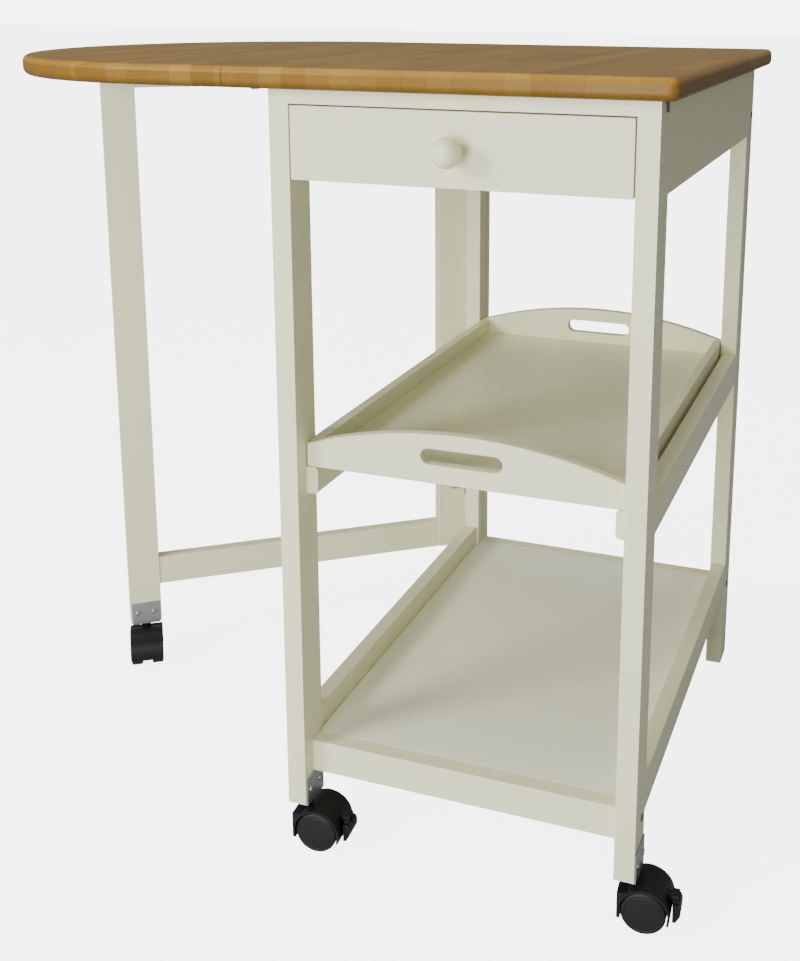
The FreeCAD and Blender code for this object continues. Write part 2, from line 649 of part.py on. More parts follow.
def away_from_seam(edge, seam):
    """True unless the whole edge lies on the seam between worktop and leaf."""
    return not all(abs(v.Point.x - seam) < 0.01 for v in edge.Vertexes)


top_corners = round_edges("worktop_corner", top_blank, S["top_corner"],
                          lambda e: not is_level(e) and away_from_seam(e, seam_x))
worktop = round_edges("worktop", top_corners, S["edge_round"],
                      lambda e: is_level(e) and away_from_seam(e, seam_x))
keep(worktop, "worktop")

# The leaf is a straight strip and half an ellipse, drawn from the seam towards -X.
leaf = doc.addObject("PartDesign::Body", "leaf_body")
leaf_sketch = sketch_in(leaf, "leaf_outline", "XY_Plane")
half_long = top_long / 2
nose = S["leaf_long"] - S["leaf_straight"]
bend_x = -S["leaf_straight"]
front = leaf_sketch.addGeometry(Part.LineSegment(V(bend_x.value, -half_long.value, 0),
                                                 V(0, -half_long.value, 0)))
seam = leaf_sketch.addGeometry(Part.LineSegment(V(0, -half_long.value, 0), V(0, half_long.value, 0)))
back = leaf_sketch.addGeometry(Part.LineSegment(V(0, half_long.value, 0),
                                                V(bend_x.value, half_long.value, 0)))
if half_long.value >= nose.value:
    rim = Part.Ellipse(V(bend_x.value, half_long.value, 0), V(bend_x.value - nose.value, 0, 0),
                       V(bend_x.value, 0, 0))
    curve = leaf_sketch.addGeometry(Part.ArcOfEllipse(rim, 0, math.pi))
else:
    rim = Part.Ellipse(V(bend_x.value - nose.value, 0, 0), V(bend_x.value, -half_long.value, 0),
                       V(bend_x.value, 0, 0))
    curve = leaf_sketch.addGeometry(Part.ArcOfEllipse(rim, -math.pi / 2, math.pi / 2))
for line in (front, back):
    leaf_sketch.addConstraint(Sketcher.Constraint("Horizontal", line))
leaf_sketch.addConstraint(Sketcher.Constraint("Vertical", seam))
leaf_sketch.addConstraint(Sketcher.Constraint("Coincident", front, 2, seam, 1))
leaf_sketch.addConstraint(Sketcher.Constraint("Coincident", seam, 2, back, 1))
leaf_sketch.addConstraint(Sketcher.Constraint("Coincident", back, 2, curve, 1))
leaf_sketch.addConstraint(Sketcher.Constraint("Coincident", curve, 2, front, 1))
leaf_sketch.addConstraint(Sketcher.Constraint("Symmetric", seam, 1, seam, 2, -1, 1))
tie(leaf_sketch, "DistanceY", (seam, 1, seam, 2), top_long)
tie(leaf_sketch, "DistanceX", (front, 1, front, 2), S["leaf_straight"])
leaf_pad = leaf.newObject("PartDesign::Pad", "leaf_pad")
leaf_pad.Profile = leaf_sketch
bind(leaf_pad, "Length", S["top_thick"])
leaf_seam = -S["top_left"] - S["leaf_gap"]
place(leaf, leaf_seam, half_long - S["top_front"], S["stand_high"])
leaf_seam_x = (leaf_seam - centre_x).value
leaf_rounded = round_edges("leaf", leaf, S["edge_round"],
                           lambda e: is_level(e) and away_from_seam(e, leaf_seam_x))
keep(leaf_rounded, "drop_leaf")


# Leaf hinges: two butt hinges under the seam, before and behind what the gate sweeps.
hinge_axis_x = -S["top_left"] - S["leaf_gap"] / 2
hinge_axis_z = S["stand_high"] - S["knuckle"]
third = S["leaf_hinge_wide"] / 3
hinge_ends = [
    ("front", S["leaf_hinge_front"]),
    ("back", S["frame_depth"] + S["top_back"] - S["leaf_hinge_inset"] - S["leaf_hinge_wide"]),
]


def knuckle_run(name, count_from, count_to, y):
    """A length of hinge knuckle, from one third of the hinge to another."""
    start = y + third * count_from + (S["knuckle_gap"] if count_from else 0)
    end = y + third * count_to - (S["knuckle_gap"] if count_to < 3 else 0)
    return rod(name, S["knuckle"], end - start, (hinge_axis_x, start, hinge_axis_z), "y")


fixed_plates = []
flap_plates = []
leaf_pins = []
for name, y in hinge_ends:
    bore_long = S["leaf_hinge_wide"]
    plate_low = S["stand_high"] - S["hinge_plate"]
    clear = S["knuckle"] + S["knuckle_gap"]
    fixed = box("fixed_plate_" + name, (S["leaf_hinge_leaf"], S["leaf_hinge_wide"], S["hinge_plate"]),
                (hinge_axis_x + clear, y, plate_low))
    fixed_tab = box("fixed_tab_" + name, (clear + 1, third - S["knuckle_gap"], S["hinge_plate"]),
                    (hinge_axis_x, y, plate_low))
    fixed_tab_far = box("fixed_tab_far_" + name, (clear + 1, third - S["knuckle_gap"], S["hinge_plate"]),
                        (hinge_axis_x, y + 2 * third + S["knuckle_gap"], plate_low))
    near = knuckle_run("fixed_knuckle_" + name, 0, 1, y)
    far = knuckle_run("fixed_knuckle_far_" + name, 2, 3, y)
    fixed_bore = rod("fixed_bore_" + name, S["hinge_pin"], bore_long, (hinge_axis_x, y, hinge_axis_z), "y")
    solid = union("fixed_leaf_" + name, [fixed, fixed_tab, fixed_tab_far, near, far])
    fixed_plates.append(cut("fixed_hinge_" + name, solid, [fixed_bore]))
    flap = box("flap_plate_" + name, (S["leaf_hinge_leaf"], S["leaf_hinge_wide"], S["hinge_plate"]),
               (hinge_axis_x - clear - S["leaf_hinge_leaf"], y, plate_low))
    flap_tab = box("flap_tab_" + name, (clear + 1, third - 2 * S["knuckle_gap"], S["hinge_plate"]),
                   (hinge_axis_x - clear - 1, y + third + S["knuckle_gap"], plate_low))
    middle = knuckle_run("flap_knuckle_" + name, 1, 2, y)
    flap_bore = rod("flap_bore_" + name, S["hinge_pin"] + S["pin_play"], bore_long,
                    (hinge_axis_x, y, hinge_axis_z), "y")
    solid = union("flap_leaf_" + name, [flap, flap_tab, middle])
    flap_plates.append(cut("flap_hinge_" + name, solid, [flap_bore]))
    leaf_pins.append(rod("leaf_pin_" + name, S["hinge_pin"], bore_long, (hinge_axis_x, y, hinge_axis_z), "y"))
keep(group("leaf_hinge_fixed_group", fixed_plates), "leaf_hinge_fixed_plates")
keep(group("leaf_hinge_flap_group", flap_plates), "leaf_hinge_flap_plates")
keep(group("leaf_hinge_pin_group", leaf_pins), "leaf_hinge_pins")


# Gate: a post hinged beside the back left leg, two rails and an outer leg that carries the leaf.
# Its own axes start at the hinge pin: u runs out along the gate, v towards the cart's side.
pin_x = -S["knuckle"] - 0.2
pin_y = S["frame_depth"] - S["leg_thick"] + S["gate_pin_back"]
gate = Spot(pin_x, pin_y, -S["gate_open"] - 90)
gate_face = pin_x
gate_top = S["stand_high"] - S["gate_top_gap"]
gate_inner = S["gate_start"] + S["leg_deep"]
gate_outer = S["gate_long"] - S["leg_deep"]
post_v = gate_face - S["leg_thick"]
gate_rail_v = post_v + (S["leg_thick"] - S["rail_thick"]) / 2
keep(box("gate_post_board", (S["leg_deep"], S["leg_thick"], gate_top - shelf_rail_low),
         (S["gate_start"], post_v, shelf_rail_low), gate), "gate_post")
gate_leg_blank = box("gate_leg_blank", (S["leg_deep"], S["leg_thick"], gate_top - lift),
                     (gate_outer, post_v, lift), gate)
gate_stem_u = gate_outer + S["leg_deep"] / 2
gate_stem_v = post_v + S["leg_thick"] / 2
gate_socket = rod("gate_socket", S["stem_head"], S["stem_head_high"],
                  (gate_stem_u, gate_stem_v, lift), "z", gate)
keep(cut("gate_leg_cut", gate_leg_blank, [gate_socket]), "gate_leg")
for label, low, high in (
    ("gate_stretcher", shelf_rail_low, S["rail_high"]),
    ("gate_top_rail", gate_top - S["gate_rail_high"], S["gate_rail_high"]),
):
    keep(box(label + "_board", (gate_outer - gate_inner, S["rail_thick"], high),
             (gate_inner, gate_rail_v, low), gate), label)
stop_u = gate_outer - S["stop_long"]
keep(box("stop_block", (S["stop_long"], S["stop_thick"], S["stop_high"]),
         (stop_u, post_v - S["stop_gap"] - S["stop_thick"], S["stand_high"] - S["stop_high"]), gate),
     "gate_stop")

# Gate hinges: butt hinges with one plate on the leg's outer face and one on the post.
hinge_heights = [("low", shelf_rail_low + 90), ("high", gate_top - 70 - S["gate_hinge_high"])]
stripe = S["gate_hinge_high"] / 3
frame_plates = []
gate_plates = []
gate_pins = []
for name, z in hinge_heights:
    pin_at = (pin_x, pin_y)
    tab = S["knuckle"] + 1
    frame_leaf = box("frame_plate_" + name, (S["hinge_plate"], S["gate_hinge_leaf"], S["gate_hinge_high"]),
                     (-S["hinge_plate"], pin_y - S["knuckle"] - S["knuckle_gap"] - S["gate_hinge_leaf"], z))
    frame_parts = [frame_leaf]
    for tag, low in (("a", z), ("b", z + 2 * stripe + S["knuckle_gap"])):
        high = stripe - S["knuckle_gap"]
        frame_parts.append(box(f"frame_tab_{name}_{tag}", (S["hinge_plate"], tab + 1, high),
                               (-S["hinge_plate"], pin_y - tab - 1, low)))
        frame_parts.append(box(f"frame_bridge_{name}_{tag}", (S["knuckle"], S["hinge_plate"], high),
                               (pin_x + 0.2, pin_y - S["hinge_plate"] / 2, low)))
        frame_parts.append(rod(f"frame_knuckle_{name}_{tag}", S["knuckle"], high, (*pin_at, low)))
    frame_bore = rod("frame_bore_" + name, S["hinge_pin"], S["gate_hinge_high"], (*pin_at, z))
    frame_plates.append(cut("frame_hinge_" + name, union("frame_leaf_" + name, frame_parts), [frame_bore]))
    gate_leaf = box("gate_plate_" + name, (S["gate_hinge_leaf"], S["hinge_plate"], S["gate_hinge_high"]),
                    (S["knuckle"] + S["knuckle_gap"], gate_face, z), gate)
    middle_low = z + stripe + S["knuckle_gap"]
    middle_high = stripe - 2 * S["knuckle_gap"]
    gate_tab = box("gate_tab_" + name, (tab + 1, S["hinge_plate"], middle_high),
                   (0, gate_face, middle_low), gate)
    gate_bridge = box("gate_bridge_" + name, (S["hinge_plate"], S["knuckle"], middle_high),
                      (-S["hinge_plate"] / 2, gate_face, middle_low), gate)
    gate_knuckle = rod("gate_knuckle_" + name, S["knuckle"], middle_high, (*pin_at, middle_low))
    gate_bore = rod("gate_bore_" + name, S["hinge_pin"] + S["pin_play"], S["gate_hinge_high"], (*pin_at, z))
    gate_solid = union("gate_leaf_" + name, [gate_leaf, gate_tab, gate_bridge, gate_knuckle])
    gate_plates.append(cut("gate_hinge_" + name, gate_solid, [gate_bore]))
    gate_pins.append(rod("gate_pin_" + name, S["hinge_pin"], S["gate_hinge_high"], (*pin_at, z)))
keep(group("gate_hinge_frame_group", frame_plates), "gate_hinge_frame_plates")
keep(group("gate_hinge_gate_group", gate_plates), "gate_hinge_gate_plates")
keep(group("gate_hinge_pin_group", gate_pins), "gate_hinge_pins")


# Frame bolts.
bolts = []
for side in ("left", "right"):
    for place_name, _, _ in BOLTS:
        bolts.append(union(f"bolt_{side}_{place_name}", bolt_holes(f"bolt_{side}", side, place_name)))
keep(group("frame_bolt_group", bolts), "frame_bolts")


# Casters. Each has a folded bracket, a riveted stem, a hood that swivels on it, an axle and a
# twin wheel. The caster's own axes start at its stem, and it trails along its own +X.
def bracket(name, spot, plate_u):
    """A folded steel bracket: an upright on the leg's face and a flange under its end."""
    wide, plate = S["bracket_wide"], S["bracket_plate"]
    across = S["leg_thick"] + plate
    reach = S["leg_thick"] / 2
    upright_u = reach if plate_u > 0 else -reach - plate
    flange_u = -reach if plate_u > 0 else -reach - plate
    upright = box("upright_" + name, (plate, wide, S["bracket_high"] + plate),
                  (upright_u, -wide / 2, lift - plate), spot)
    flange = box("flange_" + name, (across, wide, plate), (flange_u, -wide / 2, lift - plate), spot)
    hole = rod("flange_hole_" + name, S["stem_radius"], plate, (0, 0, lift - plate), "z", spot)
    return cut("bracket_" + name, union("bracket_blank_" + name, [upright, flange]), [hole])


def stem(name, spot):
    """The stem, with its head in the leg and its foot in the hood."""
    low = S["wheel_radius"] + 5
    shank = rod("stem_shank_" + name, S["stem_radius"], lift - low, (0, 0, low), "z", spot)
    head = rod("stem_head_" + name, S["stem_head"], S["stem_head_high"], (0, 0, lift), "z", spot)
    return union("stem_" + name, [shank, head])


wheel_start = S["web"] + S["wheel_gap"]
twin_half = wheel_start + S["wheel_wide"]
brake_x = brake_reach - 6


def hood(name, spot, brake):
    """The hood: a middle web with a curved cover over both wheels and a neck for the stem."""
    axle_z = S["wheel_radius"]
    drum = rod("hood_drum_" + name, hood_out, 2 * twin_half, (S["trail"], -twin_half, axle_z), "y", spot)
    neck_high = lift - S["bracket_plate"] - S["neck_gap"] - axle_z
    neck = rod("hood_neck_" + name, S["neck_radius"], neck_high, (0, 0, axle_z), "z", spot)
    skirt_high = axle_z + S["skirt_rise"] - S["hood_low"]
    skirt = box("hood_skirt_" + name, (hood_out, 2 * twin_half, skirt_high),
                (S["trail"] - hood_out, -twin_half, S["hood_low"]), spot)
    solids = [drum, neck, skirt]
    if brake:
        lug_half = S["brake_lug_half"]
        lug = rod("hood_lug_" + name, S["brake_lug"], 2 * lug_half,
                  (brake_x, -lug_half, brake_pivot), "y", spot)
        root_x = S["trail"] + hood_in - 4
        arm = box("hood_arm_" + name, (brake_x - root_x, 2 * lug_half, 2 * S["brake_lug"]),
                  (root_x, -lug_half, brake_pivot - S["brake_lug"]), spot)
        solids += [lug, arm]
    tools = [
        rod("hood_well_a_" + name, hood_in, twin_half, (S["trail"], S["web"], axle_z), "y", spot),
        rod("hood_well_b_" + name, hood_in, twin_half, (S["trail"], -S["web"] - twin_half, axle_z), "y", spot),
        rod("hood_bore_" + name, S["stem_radius"] + S["pin_play"], lift - axle_z - 4,
            (0, 0, axle_z + 4), "z", spot),
        rod("hood_axle_bore_" + name, S["axle_radius"] + S["pin_play"], 2 * S["web"],
            (S["trail"], -S["web"], axle_z), "y", spot),
        box("hood_trim_" + name, (2 * hood_out, 4 * twin_half, S["hood_low"] + 10),
            (S["trail"] - hood_out, -2 * twin_half, -10), spot),
    ]
    if brake:
        tools.append(rod("hood_pin_bore_" + name, S["brake_pin"] + S["pin_play"], 2 * S["brake_lug_half"],
                         (brake_x, -S["brake_lug_half"], brake_pivot), "y", spot))
    return cut("hood_" + name, union("hood_blank_" + name, solids), tools)


def twin_wheel(name, spot):
    """Both wheels of a caster, turned from one profile each about the axle."""
    sketch = doc.addObject("Sketcher::SketchObject", "wheel_profile_" + name)
    rim, bore = S["wheel_radius"], S["axle_radius"]
    shoulder, dish = as_size(2.5), as_size(0.6)
    for sign in (1, -1):
        near, far = sign * wheel_start, sign * twin_half
        outline(sketch, [
            (near, bore), (near, rim - 1), (near + sign * 1, rim), (far - sign * shoulder, rim),
            (far - sign * 1.2, rim - 1), (far - sign * dish, rim - shoulder),
            (far - sign * dish, rim * 0.84), (far - sign * dish * 1.6, rim * 0.81),
            (far - sign * dish, rim * 0.78), (far - sign * 0.2, rim * 0.5), (far, bore),
        ])
    turned = doc.addObject("Part::Revolution", "wheel_turn_" + name)
    turned.Source = sketch
    turned.Axis = V(1, 0, 0)
    turned.Base = V(0, 0, 0)
    turned.Angle = 360
    turned.Solid = True
    spot.place(turned, S["trail"], 0, S["wheel_radius"])
    angle = spot.turn + 90
    turned.Placement.Rotation = FreeCAD.Rotation(V(0, 0, 1), angle.value)
    bind(turned, "Placement.Rotation.Angle", angle)
    return turned


def axle(name, spot):
    return rod("axle_rod_" + name, S["axle_radius"], 2 * twin_half,
               (S["trail"], -twin_half, S["wheel_radius"]), "y", spot)


def brake(name, spot):
    """The brake pedal: a bent paddle on two cheeks whose pins turn in the hood's lug."""
    inner = S["brake_lug_half"] + 0.3
    reach, low, pivot = brake_reach, S["brake_low"], brake_pivot
    near = S["trail"] + hood_out + 1.3
    top = pivot - S["brake_lug"] - 0.6
    sketch = doc.addObject("Sketcher::SketchObject", "pedal_profile_" + name)
    outline(sketch, [
        (near, low), (near + 3.5, low), (reach, low + 8), (reach, low + 15), (reach - 2, top), (near, top),
    ])
    paddle = doc.addObject("Part::Extrusion", "pedal_" + name)
    paddle.Base = sketch
    paddle.DirMode = "Custom"
    paddle.Dir = V(0, 0, 1)
    paddle.Solid = True
    bind(paddle, "LengthFwd", S["brake_wide"])
    spot.place(paddle, 0, S["brake_wide"] / 2, 0)
    paddle.Placement.Rotation = (
        FreeCAD.Rotation(V(0, 0, 1), spot.turn.value) * FreeCAD.Rotation(V(1, 0, 0), 90)
    )
    paddle.setExpression("Placement.Rotation.Angle", None)
    solids = [paddle]
    for tag, v in (("a", inner), ("b", -inner - S["brake_cheek"])):
        solids.append(box(f"cheek_{name}_{tag}",
                          (reach - 2.5 - brake_x + S["brake_lug"], S["brake_cheek"], 2 * S["brake_lug"] + 2),
                          (brake_x - S["brake_lug"], v, pivot - S["brake_lug"] - 2), spot))
    pin_half = inner + S["brake_cheek"]
    solids.append(rod("brake_pin_" + name, S["brake_pin"], 2 * pin_half, (brake_x, -pin_half, pivot),
                      "y", spot))
    return union("brake_solid_" + name, solids)


front_brackets = []
front_stems = []
stem_y = S["leg_deep"] / 2
for side, x in (("left", S["leg_thick"] / 2), ("right", stem_x)):
    square = Spot(x, stem_y)
    turned = Spot(x, stem_y, S["front_caster_turn"])
    name = "front_" + side
    front_brackets.append(bracket(name, square, 1))
    front_stems.append(stem(name, square))
    keep(hood(name, turned, True), "caster_hood_" + name)
    keep(axle(name, turned), "caster_axle_" + name)
    keep(twin_wheel(name, turned), "caster_wheels_" + name)
    keep(brake(name, turned), "caster_brake_" + name)
keep(group("front_bracket_group", front_brackets), "caster_brackets_front")
keep(group("front_stem_group", front_stems), "caster_stems_front")

gate_stem_x, gate_stem_y = gate.at(gate_stem_u, gate_stem_v)
gate_square = Spot(gate_stem_x, gate_stem_y, -S["gate_open"])
gate_turned = Spot(gate_stem_x, gate_stem_y, S["gate_caster_turn"])
keep(bracket("gate", gate_square, 1), "caster_bracket_gate")
keep(stem("gate", gate_square), "caster_stem_gate")
keep(hood("gate", gate_turned, False), "caster_hood_gate")
keep(axle("gate", gate_turned), "caster_axle_gate")
keep(twin_wheel("gate", gate_turned), "caster_wheels_gate")

doc.recompute()

for obj in doc.Objects:
    if "Invalid" in obj.State or "Error" in obj.State:
        raise RuntimeError(f"{obj.Name} is {obj.State}")
labels = [part.Label for part in parts]
if len(set(labels)) != len(labels):
    raise RuntimeError("two pieces share a name")
for part in parts:
    if part.Shape.isNull() or not part.Shape.isValid() or not part.Shape.Solids:
        raise RuntimeError(f"{part.Label} has no valid solid")

os.makedirs("parts", exist_ok=True)
for part in parts:
    part.Shape.exportStep(os.path.join("parts", part.Label + ".step"))

whole = FreeCAD.BoundBox()
for part in parts:
    whole.add(part.Shape.BoundBox)
print(len(parts), "pieces")
print("box", [round(v, 2) for v in (whole.XMin, whole.YMin, whole.ZMin, whole.XMax, whole.YMax, whole.ZMax)])
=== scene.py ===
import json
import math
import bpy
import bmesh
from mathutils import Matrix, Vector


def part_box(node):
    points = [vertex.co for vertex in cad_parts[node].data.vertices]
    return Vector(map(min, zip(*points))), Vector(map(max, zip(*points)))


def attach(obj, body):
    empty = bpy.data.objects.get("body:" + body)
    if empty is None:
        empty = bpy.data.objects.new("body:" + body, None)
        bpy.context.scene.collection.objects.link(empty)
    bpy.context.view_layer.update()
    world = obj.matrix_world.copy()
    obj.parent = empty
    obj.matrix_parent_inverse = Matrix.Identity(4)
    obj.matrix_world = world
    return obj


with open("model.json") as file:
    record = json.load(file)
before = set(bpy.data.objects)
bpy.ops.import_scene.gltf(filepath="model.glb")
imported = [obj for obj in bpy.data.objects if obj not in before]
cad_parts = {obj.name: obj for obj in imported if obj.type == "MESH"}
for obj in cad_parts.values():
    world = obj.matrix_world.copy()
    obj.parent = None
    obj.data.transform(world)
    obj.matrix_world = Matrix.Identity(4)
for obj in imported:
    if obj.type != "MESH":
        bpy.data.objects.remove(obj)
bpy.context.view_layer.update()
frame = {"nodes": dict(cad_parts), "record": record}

# %% [markdown]
# # A kitchen island cart
# The cart has a painted wooden frame, a butcher-block top with a raised leaf on a swinging gate
# leg, a drawer, a serving tray, a shelf and twin-wheel casters. The engineering model brings every
# board and fitting in its true place. This lesson gives them soft edges and finishes, adds the
# small hardware faces that only the eye needs, and lights the result.

nodes = frame["nodes"]

# %% [markdown]
# ## Soft edges
# Sanded and painted wood never has a knife edge: a router or sandpaper takes off a millimetre or
# two, and that thin rounding is what catches the light. It could be modelled board by board, but a
# bevel modifier does it for all of them and leaves the boards' own mesh alone. A weld comes first,
# because imported faces don't share corners. A small geometry-nodes group then shades every edge
# smooth unless it folds by more than a set angle.


# %% A node group that shades by angle
def make_shade_group(name, sharp_degrees):
    """Geometry nodes: smooth faces, with edges kept sharp above an angle."""
    group = bpy.data.node_groups.new(name, "GeometryNodeTree")
    group.interface.new_socket("Geometry", in_out="INPUT", socket_type="NodeSocketGeometry")
    group.interface.new_socket("Geometry", in_out="OUTPUT", socket_type="NodeSocketGeometry")
    make, link = group.nodes.new, group.links.new
    enter, leave = make("NodeGroupInput"), make("NodeGroupOutput")
    angle = make("GeometryNodeInputMeshEdgeAngle")
    folded = make("FunctionNodeCompare")
    folded.operation = "GREATER_THAN"
    folded.inputs["B"].default_value = math.radians(sharp_degrees)
    faces = make("GeometryNodeSetShadeSmooth")
    edges = make("GeometryNodeSetShadeSmooth")
    edges.domain = "EDGE"
    edges.inputs["Shade Smooth"].default_value = False
    link(enter.outputs[0], faces.inputs["Geometry"])
    link(faces.outputs[0], edges.inputs["Geometry"])
    link(angle.outputs["Unsigned Angle"], folded.inputs["A"])
    link(folded.outputs[0], edges.inputs["Selection"])
    link(edges.outputs[0], leave.inputs[0])
    return group


SHADE = make_shade_group("shade by angle", 35)
print("made", SHADE.name)


# %% Soften a piece
def soften(piece, width):
    """Welds, bevels and shades one piece. Width is in metres, and 0 leaves out the bevel."""
    weld = piece.modifiers.new("weld corners", "WELD")
    weld.merge_threshold = 0.00002
    if width:
        bevel = piece.modifiers.new("soft edge", "BEVEL")
        bevel.width = width
        bevel.segments = 2
        bevel.limit_method = "ANGLE"
        bevel.angle_limit = math.radians(40)
    shade = piece.modifiers.new("shade", "NODES")
    shade.node_group = SHADE
    flats = piece.modifiers.new("flat faces stay flat", "WEIGHTED_NORMAL")
    flats.keep_sharp = True


# Each piece takes the first entry that its name starts with. The pieces with 0 already have their
# full rounding, and a piece that isn't listed gets no bevel.
BOARD_EDGE, THIN_EDGE, METAL_EDGE, MOULDED_EDGE, PEDAL_EDGE = 0.0013, 0.0009, 0.0003, 0.0006, 0.0014
EDGES = {
    "leg_": BOARD_EDGE, "apron_": BOARD_EDGE, "mid_rail": BOARD_EDGE, "shelf_": BOARD_EDGE,
    "gate_post": BOARD_EDGE, "gate_leg": BOARD_EDGE, "gate_top": BOARD_EDGE,
    "gate_stretcher": BOARD_EDGE, "gate_stop": BOARD_EDGE, "drawer_knob": 0, "drawer_": THIN_EDGE,
    "tray_end": 0, "tray_bearer": 0, "tray_": THIN_EDGE, "caster_hood": MOULDED_EDGE,
    "caster_brake": PEDAL_EDGE, "caster_bracket": METAL_EDGE, "gate_hinge": METAL_EDGE,
    "leaf_hinge": METAL_EDGE, "worktop": 0, "drop_leaf": 0,
}
for name, piece in nodes.items():
    width = next((w for start, w in EDGES.items() if name.startswith(start)), 0)
    soften(piece, width)
print("softened", len(nodes), "pieces")

# %% [markdown]
# ## Shared surface effects
# Two effects are too long to repeat in a material. One is the slow unevenness of a sprayed, plated
# or moulded skin with a fine ripple in it, which six finishes use at different scales. The other
# is the strips of a butcher block. Each is one node group with named inputs, built once. The groups
# put out only values that change over the surface, and every shader stays in its own material.


# %% Helpers for node groups
def new_group(name, inputs, outputs):
    """A shader node group with float or colour sockets."""
    group = bpy.data.node_groups.new(name, "ShaderNodeTree")
    for label, kind, value in inputs:
        socket = group.interface.new_socket(label, in_out="INPUT", socket_type=kind)
        socket.default_value = value
    for label, kind in outputs:
        group.interface.new_socket(label, in_out="OUTPUT", socket_type=kind)
    return group, group.nodes.new("NodeGroupInput"), group.nodes.new("NodeGroupOutput")


def math_node(tree, kind, a, b=None):
    """A math node fed by sockets or plain numbers. Returns its output."""
    node = tree.nodes.new("ShaderNodeMath")
    node.operation = kind
    for slot, value in enumerate((a, b)):
        if value is None:
            continue
        if isinstance(value, bpy.types.NodeSocket):
            tree.links.new(value, node.inputs[slot])
        else:
            node.inputs[slot].default_value = value
    return node.outputs[0]


def mix_colour(tree, factor, a, b):
    """Mixes two colours or colour sockets."""
    node = tree.nodes.new("ShaderNodeMix")
    node.data_type = "RGBA"
    for slot, value in ((0, factor), (6, a), (7, b)):
        if isinstance(value, bpy.types.NodeSocket):
            tree.links.new(value, node.inputs[slot])
        else:
            node.inputs[slot].default_value = value
    return node.outputs[2]


def noise(tree, vector, scale, detail=3.0):
    """Noise from a vector socket. Returns its 0 to 1 value."""
    node = tree.nodes.new("ShaderNodeTexNoise")
    node.inputs["Detail"].default_value = detail
    tree.links.new(vector, node.inputs["Vector"])
    if isinstance(scale, bpy.types.NodeSocket):
        tree.links.new(scale, node.inputs["Scale"])
    else:
        node.inputs["Scale"].default_value = scale
    return node.outputs[0]


FLOAT, COLOUR = "NodeSocketFloat", "NodeSocketColor"
print("helpers ready")

# %% [markdown]
# No real coat is one flat colour. Its tone drifts slowly, its gloss changes where it was rubbed, and
# a fine ripple breaks up reflections. An image could hold this, but noise at three scales needs no
# unwrapping and stays sharp close up.


# %% Film: slow clouds and a fine ripple
def make_film():
    """Clouds for colour, patches for gloss and a ripple for height."""
    group, enter, leave = new_group(
        "surface film",
        [("Light Colour", COLOUR, (1, 1, 1, 1)), ("Dark Colour", COLOUR, (0, 0, 0, 1)),
         ("Gloss Low", FLOAT, 0.3), ("Gloss High", FLOAT, 0.4), ("Ripple", FLOAT, 200.0)],
        [("Colour", COLOUR), ("Roughness", FLOAT), ("Height", FLOAT)],
    )
    where = group.nodes.new("ShaderNodeTexCoord").outputs["Object"]
    clouds = noise(group, where, 5.0)
    patches = noise(group, where, 14.0)
    colour = mix_colour(group, clouds, enter.outputs["Dark Colour"], enter.outputs["Light Colour"])
    spread = math_node(group, "SUBTRACT", enter.outputs["Gloss High"], enter.outputs["Gloss Low"])
    rough = math_node(group, "MULTIPLY", patches, spread)
    rough = math_node(group, "ADD", rough, enter.outputs["Gloss Low"])
    ripple = noise(group, where, enter.outputs["Ripple"], 2.0)
    group.links.new(colour, leave.inputs["Colour"])
    group.links.new(rough, leave.inputs["Roughness"])
    group.links.new(ripple, leave.inputs["Height"])
    return group


FILM = make_film()
print("made", FILM.name)


# %% [markdown]
# A butcher block is glued from narrow staves, and each stave from shorter lengths. Cutting the mesh
# into strips would make hundreds of faces, so the strips are counted in the material instead. A
# strip's number shifts its joints, and the number pair of each length picks its random tones.


# %% Strips: the staves of a butcher block
GRAIN_DENSITY = (260.0, 9.0, 120.0)
GRAIN_JUMP = (30.0, 30.0, 30.0)


